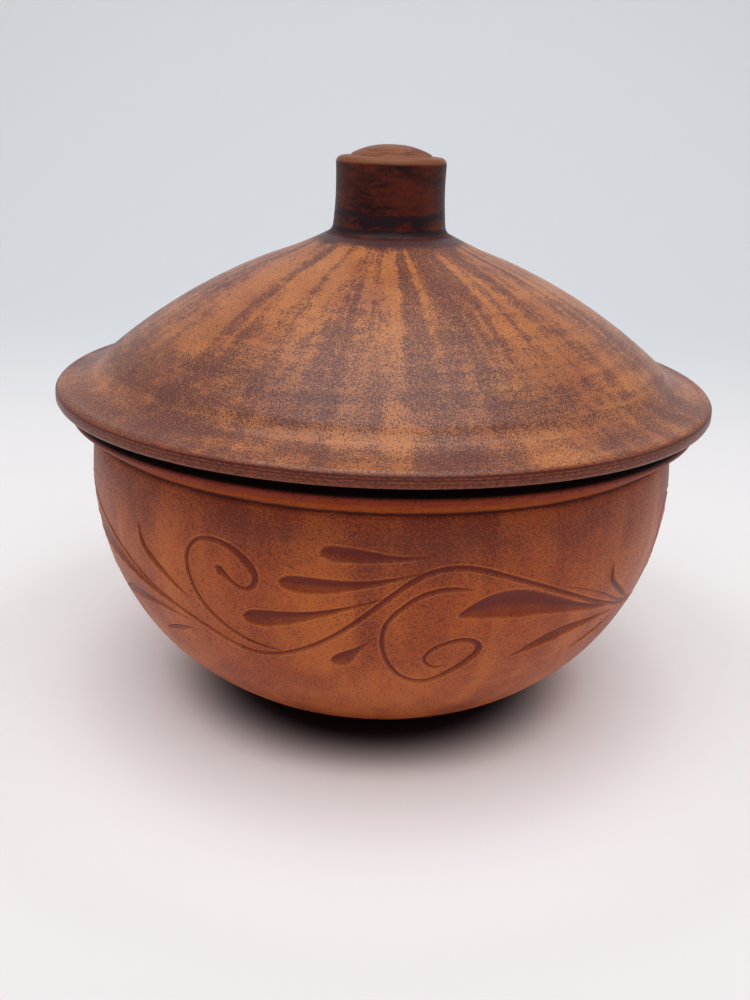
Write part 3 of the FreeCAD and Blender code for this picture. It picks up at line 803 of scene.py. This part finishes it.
def knobColour(tree, form, place, spot, base):
    height, radius = spot["Height"], spot["Radius"]
    streaked = stretchedNoise(tree, place, (90.0, 90.0, 420.0), 4.0, 0.7, 0.6)
    fine = stretchedNoise(tree, place, (1500.0, 1500.0, 700.0), 2.0, 0.6)
    patches = stretchedNoise(tree, place, (75.0, 75.0, 130.0), 3.0, 0.6)
    dark = spread(tree, streaked, 0.40, 0.66, 0.0, 0.7)
    dark = plus(tree, dark, spread(tree, patches, 0.42, 0.62), 0.45)
    dark = plus(tree, dark, minus(tree, fine, noiseMiddle), 1.1)
    dark = plus(tree, dark, spread(tree, height, 0.176, 0.187), 0.10, True)
    side = mixColours(tree, dark, form["knobRed"], form["knobDark"])
    (wideLevel, wideHalf), (thinLevel, thinHalf) = form["footLines"]
    wideLine = lineAt(tree, doMath(tree, "ADD", height, wobble(tree, patches, 0.012)), wideLevel, wideHalf)
    bands = doMath(tree, "MAXIMUM", wideLine, lineAt(tree, height, thinLevel, thinHalf))
    side = mixColours(tree, times(tree, bands, 0.95), side, form["knobFoot"])
    capSpots = spread(tree, stretchedNoise(tree, place, (160.0, 160.0, 500.0), 3.0, 0.65), 0.42, 0.62)
    capSpots = times(tree, capSpots, spread(tree, radius, *form["capMiddle"]))
    top = mixColours(tree, capSpots, form["cap"], form["knobRed"])
    tint = mixColours(tree, spread(tree, height, *form["capHeight"]), side, top)
    onKnob = times(tree, spread(tree, radius, *form["knobReach"]), spread(tree, height, *form["knobBottom"]))
    collar = spread(tree, plus(tree, radius, patches, -0.009), *form["collarReach"])
    base = mixColours(tree, collar, base, form["collar"])
    return mixColours(tree, onKnob, base, tint), onKnob


def rimColour(tree, form, place, spot, base):
    height, radius = spot["Height"], spot["Radius"]
    fleck = stretchedNoise(tree, place, (900.0, 900.0, 2200.0), 2.0, 0.6)
    level = doMath(tree, "ADD", height, wobble(tree, noise(tree, place, 60.0, 2.0, 0.5), 0.0005))
    face = mixColours(tree, spread(tree, fleck, 0.42, 0.60, 0.0, 0.75), form["rimRed"], form["rimDark"])
    first, second, faint = (lineAt(tree, level, *line) for line in form["rimLines"])
    lines = doMath(tree, "MAXIMUM", doMath(tree, "MAXIMUM", first, second), times(tree, faint, 0.7))
    face = mixColours(tree, times(tree, lines, 0.85), face, form["rimDark"])
    onFace = times(tree, spread(tree, radius, *form["rimReach"]), spread(tree, height, *form["rimTop"]))
    base = mixColours(tree, onFace, base, face)
    # Painted shade: the lid's underside over the lip is tinted near black, as the shade in the gap between
    # lid and pot.
    below = spread(tree, height, *form["gapShadeHeight"])
    below = times(tree, below, spread(tree, radius, *form["gapShadeReach"]))
    return mixColours(tree, below, base, form["gapShade"])


def makeLidClay():
    form = lidClayForm
    material, tree, shader, place, spot = startClay("lidClay")
    ring = ringsAt(tree, spot, form["fineRings"])
    amount, lowerBand, clouds = lidSmoke(tree, form, place, spot, ring)
    grains = grainsAt(tree, form, place, amount)
    browner = spread(tree, noise(tree, place, 38.0, 4.0, 0.6), 0.38, 0.72)
    warm = mixColours(tree, browner, form["orange"], form["brown"])
    warm = mixColours(tree, times(tree, times(tree, lowerBand, clouds), 0.30), warm, form["ash"])
    warm = mixColours(tree, spread(tree, amount, 0.30, 0.84, 0.0, 0.30), warm, form["smoke"])
    base = mixColours(tree, times(tree, grains, 0.78), warm, form["smoke"])
    base, onKnob = knobColour(tree, form, place, spot, base)
    tree.links.new(rimColour(tree, form, place, spot, base), shader.inputs["Base Color"])
    sheen = spread(tree, onKnob, 0.0, 1.0, form["sheen"], form["knobSheen"])
    tree.links.new(sheen, shader.inputs["Coat Weight"])
    finishClay(tree, shader, form, place, grains, ring)
    return material


# The pot's clay: redder, mottled dark under the waist, with painted shade in the carving and paler edges,
# partly wear and partly painted light.
potClayForm = {
    "red": colour(0.370, 0.068, 0.015),
    "deep": colour(0.270, 0.046, 0.014),
    "smoke": colour(0.060, 0.012, 0.013),
    "orange": colour(0.490, 0.118, 0.022),
    # Painted shade: gouge is the dark tint the cuts are painted with, in place of the shade in them.
    "gouge": colour(0.140, 0.013, 0.007),
    "burr": colour(0.540, 0.155, 0.040),
    "lipShadeRed": colour(0.220, 0.024, 0.007),
    "lipOrange": colour(0.380, 0.082, 0.016),
    "speck": colour(0.040, 0.008, 0.006),
    "gapShade": colour(0.012, 0.005, 0.004),
    "fineRings": {"Spacing": 0.0020, "Wander": 0.7},
    "washes": (42.0, 42.0, 12.0),
    "waistStart": (0.070, 0.097),
    "waistEnd": (0.1006, 0.0992),
    "smokeRange": (0.0, 1.0, 0.15, 0.85),
    "cutDepth": (0.03, 0.45),
    "cutShadeLean": (-0.15, 0.45, 0.96, 0.55),
    "burrFrom": (0.25, 0.95),
    "burrLightLean": (-0.12, 0.12, 0.10, 0.60),
    "lipStart": (0.0998, 0.1005),
    "lipLidShade": (0.1018, 0.1060),
    "lipGapShade": (0.1062, 0.1072),
    "groove": (0.0994, 0.00062),
    "Grain": 1800.0,
    "Softness": 0.05,
    "roughness": (0.41, 0.54),
    "sheen": 0.16,
    "sheenEnd": (0.092, 0.099),
    "ringRelief": 0.55,
    "bump": 0.5,
    "bumpHeight": 0.0002,
}


# The lip, darker toward its top in painted shade from the lid and in blotches, the scored line under it, and
# its top edge painted near black as the shade in the gap under the lid.
def lipColour(tree, form, place, height, base):
    specks = spread(tree, noise(tree, place, 1100.0, 2.0, 0.6), 0.55, 0.66)
    blotch = spread(tree, noise(tree, place, 300.0, 3.0, 0.65), 0.44, 0.60)
    # Painted shade: the upper lip band is tinted a darker red under the lid's overhang, mixed with blotches.
    redder = plus(tree, spread(tree, height, *form["lipLidShade"]), blotch, 0.35, True)
    lip = mixColours(tree, redder, form["lipOrange"], form["lipShadeRed"])
    lip = mixColours(tree, times(tree, specks, 0.75), lip, form["speck"])
    base = mixColours(tree, spread(tree, height, *form["lipStart"]), base, lip)
    level = doMath(tree, "ADD", height, wobble(tree, noise(tree, place, 350.0, 3.0, 0.7), 0.0009))
    groove = lineAt(tree, level, *form["groove"])
    base = mixColours(tree, times(tree, groove, 0.9), base, form["smoke"])
    # Painted shade: the lip's top edge under the lid is tinted near black.
    return mixColours(tree, spread(tree, height, *form["lipGapShade"]), base, form["gapShade"])


# Painted shade in the cuts, deepest on walls that face down, and paler burrs beside them, partly wear and
# partly painted light where they face up, by the attributes of the carved mesh.
def carvedColour(tree, form, grains, base):
    cut, burr, lean = (attribute(tree, name) for name in ("cut", "burr", "lean"))
    cutShadeColour = mixColours(tree, times(tree, grains, 0.35), form["gouge"], form["smoke"])
    cutShadeMask = times(tree, spread(tree, cut, *form["cutDepth"]), spread(tree, lean, *form["cutShadeLean"]))
    base = mixColours(tree, cutShadeMask, base, cutShadeColour)
    # Partly wear and partly painted light: burrs are tinted paler, most where they face up toward the light.
    wornAndLit = times(tree, spread(tree, burr, *form["burrFrom"]), spread(tree, lean, *form["burrLightLean"]))
    return mixColours(tree, wornAndLit, base, form["burr"])


def makePotClay():
    form = potClayForm
    material, tree, shader, place, spot = startClay("potClay")
    height = spot["Height"]
    ring = ringsAt(tree, spot, form["fineRings"])
    broken = minus(tree, noise(tree, place, 220.0, 3.0, 0.65), noiseMiddle)
    upright = stretchedNoise(tree, place, form["washes"], 3.0, 0.55, 0.5)
    washes = spread(tree, plus(tree, upright, broken, 0.25), 0.38, 0.68)
    clouds = spread(tree, plus(tree, noise(tree, place, 34.0, 3.0, 0.6, 0.4), broken, 0.35), 0.40, 0.70)
    waist = times(tree, spread(tree, height, *form["waistStart"]), spread(tree, height, *form["waistEnd"]))
    amount = doMath(tree, "ADD", times(tree, waist, 0.22), 0.24)
    amount = plus(tree, amount, clouds, 0.26)
    amount = plus(tree, amount, minus(tree, 0.5, washes), 0.28)
    amount = plus(tree, amount, minus(tree, ring, noiseMiddle), 0.4)
    amount = spread(tree, amount, *form["smokeRange"])
    grains = grainsAt(tree, form, place, amount)
    warm = mixColours(tree, washes, form["red"], form["orange"])
    warm = mixColours(tree, times(tree, waist, 0.45), warm, form["deep"])
    warm = mixColours(tree, spread(tree, amount, 0.45, 0.88, 0.0, 0.25), warm, form["smoke"])
    base = mixColours(tree, times(tree, grains, 0.56), warm, form["smoke"])
    base = carvedColour(tree, form, grains, base)
    tree.links.new(lipColour(tree, form, place, height, base), shader.inputs["Base Color"])
    sheen = spread(tree, height, *form["sheenEnd"], form["sheen"], 0.0)
    tree.links.new(sheen, shader.inputs["Coat Weight"])
    finishClay(tree, shader, form, place, grains, ring)
    return material


lidClay = makeLidClay()
potClay = makePotClay()
print("clays made")
lidSkin = makeLidSkin(lidClay)
potSkin.data.materials.append(potClay)

for piece, node, slotName in ((potSkin, "pot", "pot_clay"), (lidSkin, "lid", "lid_clay")):
    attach(piece, "root")
    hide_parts(node)


# Pale paper under and behind the pot. Tints go by the way back and up, and by the way from the pot: a painted
# shadow right under the pot and painted light on the floor beside it.
stageForm = {
    "wallDistance": 1.3,
    "bend": 0.7,
    "bendSteps": 24,
    "halfWidth": 3.0,
    "front": -2.5,
    "wallHeight": 3.0,
    "rise": 1.4,
    "shadeShift": 0.006,
    "nearFloor": colour(0.760, 0.740, 0.740),
    "floor": colour(0.815, 0.78, 0.78),
    "paintedLightBesidePot": colour(0.96, 0.93, 0.935),
    "low": colour(0.68, 0.70, 0.73),
    "wall": colour(0.72, 0.735, 0.76),
    "paintedContactShadow": colour(0.03, 0.012, 0.016),
    "floorFrom": (-0.25, -0.08),
    "paintedLightTo": (0.112, 0.165),
    "lowFrom": (0.05, 0.75),
    "wallFrom": (0.45, 1.7),
    "paintedShadowTo": (0.048, 0.080),
}


def makePaper():
    form = stageForm
    material = bpy.data.materials.new("palePaper")
    material.use_nodes = True
    tree = material.node_tree
    shader = tree.nodes["Principled BSDF"]
    shader.inputs["Roughness"].default_value = 0.9
    shader.inputs["Specular IOR Level"].default_value = 0.1
    split = splitAxes(tree, putNode(tree, "ShaderNodeTexCoord").outputs["Object"])
    rising = plus(tree, split["Y"], split["Z"], form["rise"])
    # The centre of the painted shadow and the painted light sits a little toward the front.
    flat = joinAxes(tree, split["X"], doMath(tree, "ADD", split["Y"], form["shadeShift"]), 0.0)
    away = lengthOf(tree, flat)
    tint = mixColours(tree, spread(tree, rising, *form["floorFrom"]), form["nearFloor"], form["floor"])
    # Painted light: the floor beside the pot is tinted paler, in place of light that the pot blocks there.
    tint = mixColours(tree, spread(tree, away, *form["paintedLightTo"]), form["paintedLightBesidePot"], tint)
    tint = mixColours(tree, spread(tree, rising, *form["lowFrom"]), tint, form["low"])
    tint = mixColours(tree, spread(tree, rising, *form["wallFrom"]), tint, form["wall"])
    # Painted shadow: the floor right under the pot is tinted near black in place of its contact shadow.
    tint = mixColours(tree, spread(tree, away, *form["paintedShadowTo"]), form["paintedContactShadow"], tint)
    tree.links.new(tint, shader.inputs["Base Color"])
    return material


def makeSweep():
    form = stageForm
    bend = form["bend"]
    flatEnd = form["wallDistance"] - bend
    outline = [(form["front"], 0.0), (flatEnd, 0.0)]
    for i in range(1, form["bendSteps"] + 1):
        angle = math.pi / 2 * i / form["bendSteps"]
        outline.append((flatEnd + bend * math.sin(angle), bend * (1 - math.cos(angle))))
    outline.append((form["wallDistance"], form["wallHeight"]))
    vertices = [(side * form["halfWidth"], y, z) for y, z in outline for side in (-1, 1)]
    faces = [(2 * i, 2 * i + 1, 2 * i + 3, 2 * i + 2) for i in range(len(outline) - 1)]
    mesh = bpy.data.meshes.new("sweep")
    mesh.from_pydata(vertices, [], faces)
    mesh.shade_smooth()
    mesh.materials.append(makePaper())
    addObject("sweep", mesh)


makeSweep()

# Soft light from above, a bright room at the sides and a dim one behind the camera.
lampForm = {
    "target": (0.0, 0.0, 0.1),
    "lamps": {"topLamp": ((0.0, -0.15, 1.6), 1.5, 16.5), "frontLamp": ((0.15, -1.3, 1.25), 0.8, 2.4)},
    "sky": 0.76,
    "skyColour": colour(0.97, 0.985, 1.0),
    "dimmest": 0.40,
    "dimFront": (0.0, -0.55),
    "dimBelow": (0.80, 0.35),
}


def addLamp(name, place, side, power):
    light = bpy.data.lights.new(name, "AREA")
    light.shape = "SQUARE"
    light.size = side
    light.energy = power
    lamp = addObject(name, light)
    lamp.location = place
    lamp.rotation_euler = (Vector(lampForm["target"]) - Vector(place)).to_track_quat("-Z", "Y").to_euler()


for lampName, (lampPlace, lampSide, lampPower) in lampForm["lamps"].items():
    addLamp(lampName, lampPlace, lampSide, lampPower)


def makeRoomLight():
    world = bpy.data.worlds.new("softRoom")
    bpy.context.scene.world = world
    world.use_nodes = True
    tree = world.node_tree
    split = splitAxes(tree, putNode(tree, "ShaderNodeTexCoord").outputs["Generated"])
    front = spread(tree, split["Y"], *lampForm["dimFront"])
    below = spread(tree, split["Z"], *lampForm["dimBelow"])
    dim = spread(tree, times(tree, front, below), 0.0, 1.0, 1.0, lampForm["dimmest"])
    background = tree.nodes["Background"]
    background.inputs["Color"].default_value = lampForm["skyColour"]
    tree.links.new(times(tree, dim, lampForm["sky"]), background.inputs["Strength"])


makeRoomLight()

# The photograph's view.
cameraForm = {"lens": 39.6, "back": 0.39135, "height": 0.2068, "down": 19.63, "aside": -0.26, "roll": 1.9}


def addCamera():
    down, aside, roll = (math.radians(cameraForm[name]) for name in ("down", "aside", "roll"))
    forward = Vector((math.sin(aside) * math.cos(down), math.cos(aside) * math.cos(down), -math.sin(down)))
    right = Vector((math.cos(aside), -math.sin(aside), 0))
    upward = right.cross(forward)
    tiltedRight = math.cos(roll) * right + math.sin(roll) * upward
    tiltedUp = -math.sin(roll) * right + math.cos(roll) * upward
    lensData = bpy.data.cameras.new("photoCamera")
    lensData.lens = cameraForm["lens"]
    lensData.sensor_width = 36
    lensData.clip_start = 0.01
    camera = addObject("photoCamera", lensData)
    turned = Matrix((tiltedRight, tiltedUp, -forward)).transposed().to_4x4()
    camera.matrix_world = Matrix.Translation((0, -cameraForm["back"], cameraForm["height"])) @ turned
    bpy.context.scene.camera = camera


addCamera()
bpy.context.scene.view_settings.view_transform = "Standard"
print("stage, lamps and camera placed")
